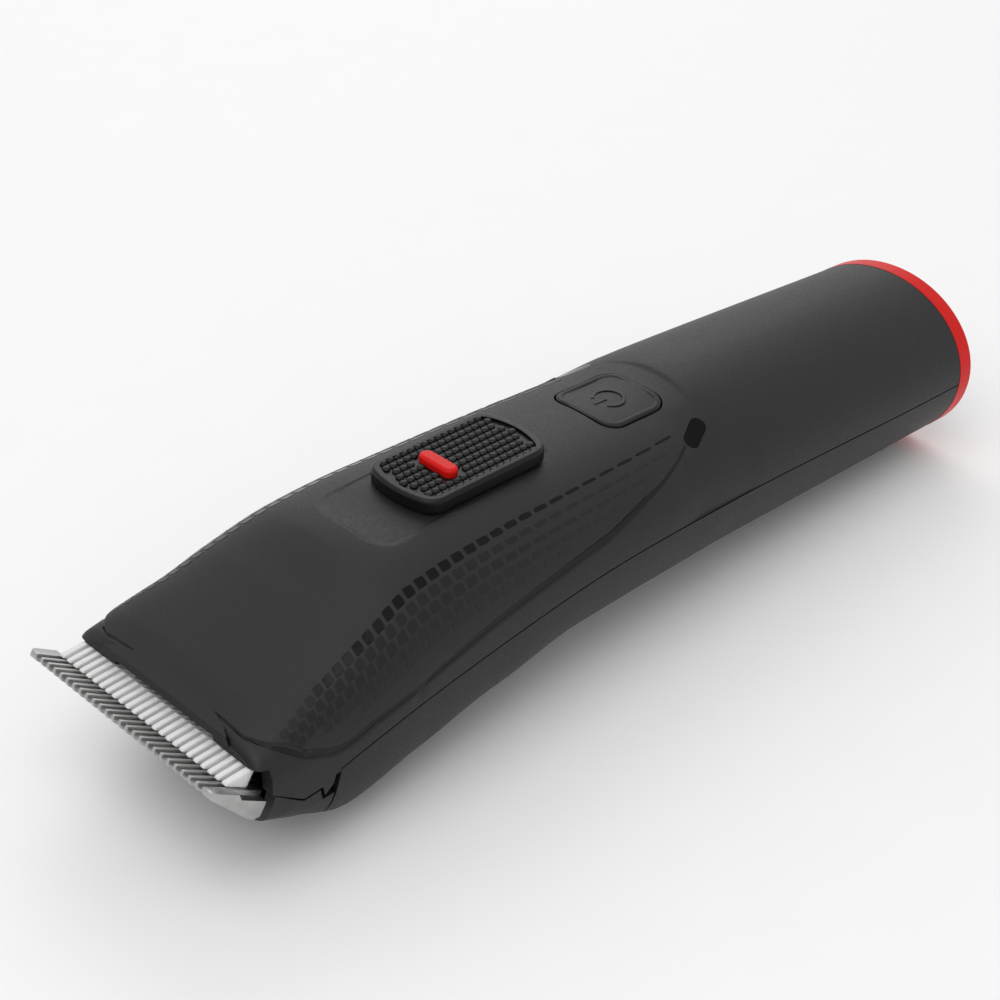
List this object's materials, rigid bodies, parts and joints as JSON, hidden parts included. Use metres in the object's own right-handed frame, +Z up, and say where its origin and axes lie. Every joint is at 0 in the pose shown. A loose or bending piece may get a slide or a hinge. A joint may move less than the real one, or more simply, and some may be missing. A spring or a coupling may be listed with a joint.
{
  "type": "hair clipper",
  "caption": "Cordless hair clipper with a hinged blade head, ceramic cutter driven by a motor and eccentric, cutting-length slider, power button and charging socket.",
  "frame": {"origin": "under the middle of the clipper's box, on the surface that it lies on with its chin and its tail", "axes": "+X from the comb tips to the tail, +Y across the blade, +Z up"},
  "size_m": [0.1736, 0.0432, 0.039],
  "materials": {
    "soft_touch": "charcoal soft-touch moulded plastic, fine matt grain",
    "satin_black": "satin black moulded plastic",
    "gloss_black": "piano black gloss plastic",
    "red_trim": "bright red gloss plastic",
    "blade_steel": "ground stainless steel",
    "ceramic": "white zirconia ceramic",
    "spring_steel": "bright spring steel",
    "screw_steel": "zinc plated steel",
    "inner_plastic": "natural acetal",
    "motor_steel": "drawn steel can",
    "magnet": "sintered ferrite",
    "bronze": "sintered bronze",
    "copper": "copper",
    "board": "green solder mask",
    "cell_wrap": "blue shrink sleeve",
    "nickel": "nickel strip",
    "lead_red": "red insulation"
  },
  "bodies": {
    "casing": {"upper_shell": "soft_touch", "lower_shell": "soft_touch", "tail_ring": "red_trim", "tail_cap": "satin_black", "charging_socket": "nickel", "side_accents": "gloss_black", "casing_screws": "screw_steel", "tact_switch": "satin_black", "circuit_board": "board", "control_chip": "gloss_black", "board_screws": "screw_steel", "battery_cell": "cell_wrap", "battery_tabs": "nickel", "battery_leads": "lead_red", "motor_can": "motor_steel", "motor_end_bell": "inner_plastic", "motor_bearings": "bronze", "motor_magnets": "magnet", "motor_terminals": "copper", "motor_leads": "lead_red", "hinge_pin": "spring_steel"},
    "rotor": {"motor_shaft": "spring_steel", "motor_armature": "motor_steel", "motor_commutator": "copper", "eccentric_cam": "inner_plastic"},
    "slider": {"slider_cap": "satin_black", "slider_marker": "red_trim", "slider_retainer": "inner_plastic", "slider_screw": "screw_steel", "cam_bar": "inner_plastic"},
    "button": {"power_button": "soft_touch"},
    "blade_head": {"blade_holder": "soft_touch", "comb_blade": "blade_steel", "comb_screws": "screw_steel", "guide_screws": "screw_steel", "return_spring": "spring_steel"},
    "carriage": {"cutter_carriage": "satin_black", "tension_spring": "spring_steel"},
    "cutter": {"cutter_blade": "ceramic", "drive_yoke": "satin_black"}
  },
  "joints": [
    {"name": "motor_spin", "type": "hinge", "parent": "casing", "child": "rotor", "pos_m": [-0.056, 0, 0.02048], "axis": [0.9982, 0, -0.0594], "continuous": true},
    {"name": "length_slide", "type": "slide", "parent": "casing", "child": "slider", "axis": [0.9998, 0, -0.0175], "range_m": [-0.007, 0]},
    {"name": "power_button_press", "type": "slide", "parent": "casing", "child": "button", "axis": [-0.0594, 0, -0.9982], "range_m": [0, 0.0006], "stiffness_N_per_m": 2000},
    {"name": "blade_head_tilt", "type": "hinge", "parent": "casing", "child": "blade_head", "pos_m": [-0.06847, 0, 0.00624], "axis": [0, -1, 0], "range_deg": [0, 30]},
    {"name": "carriage_shift", "type": "slide", "parent": "blade_head", "child": "carriage", "axis": [0.8348, 0, -0.5505], "range_m": [-0.002, 0]},
    {"name": "cutter_stroke", "type": "slide", "parent": "carriage", "child": "cutter", "axis": [0, 1, 0], "range_m": [-0.001, 0.001]}
  ],
  "couplings": [
    {"joint": "carriage_shift", "follows": "length_slide", "ratio": 0.28571}
  ]
}
